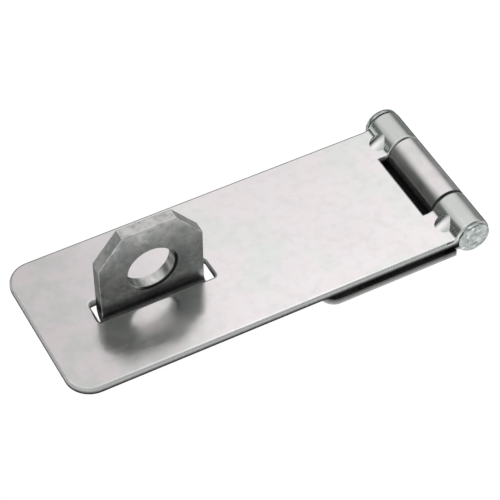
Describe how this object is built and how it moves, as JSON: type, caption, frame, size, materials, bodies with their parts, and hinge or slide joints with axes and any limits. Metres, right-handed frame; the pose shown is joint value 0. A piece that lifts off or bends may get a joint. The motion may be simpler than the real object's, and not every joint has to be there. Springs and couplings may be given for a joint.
{
  "type": "hasp and staple",
  "caption": "Safety hasp: a slotted flap with rounded corners swings on a riveted hinge over an upright staple lug that takes a padlock.",
  "frame": {"origin": "middle of the mounting plane under the whole object, at the base", "axes": "+X from the staple end to the hinge, +Y across the flap, +Z away from the door"},
  "size_m": [0.1, 0.0411, 0.0252],
  "materials": {
    "flap_zinc": "bright zinc plate with a smooth reflective face",
    "leaf_zinc": "bright zinc plate",
    "pin_zinc": "zinc plate, hammered by peening at the ends",
    "staple_zinc": "grey mottled zinc plate"
  },
  "bodies": {
    "base": {"hinge_leaf": "leaf_zinc", "staple": "staple_zinc"},
    "flap": {"hasp_flap": "flap_zinc", "hinge_pin": "pin_zinc"}
  },
  "joints": [
    {"name": "flap_hinge", "type": "hinge", "parent": "base", "child": "flap", "pos_m": [0.04572, 0, 0.00428], "axis": [0, 1, 0], "range_deg": [0, 180]}
  ]
}
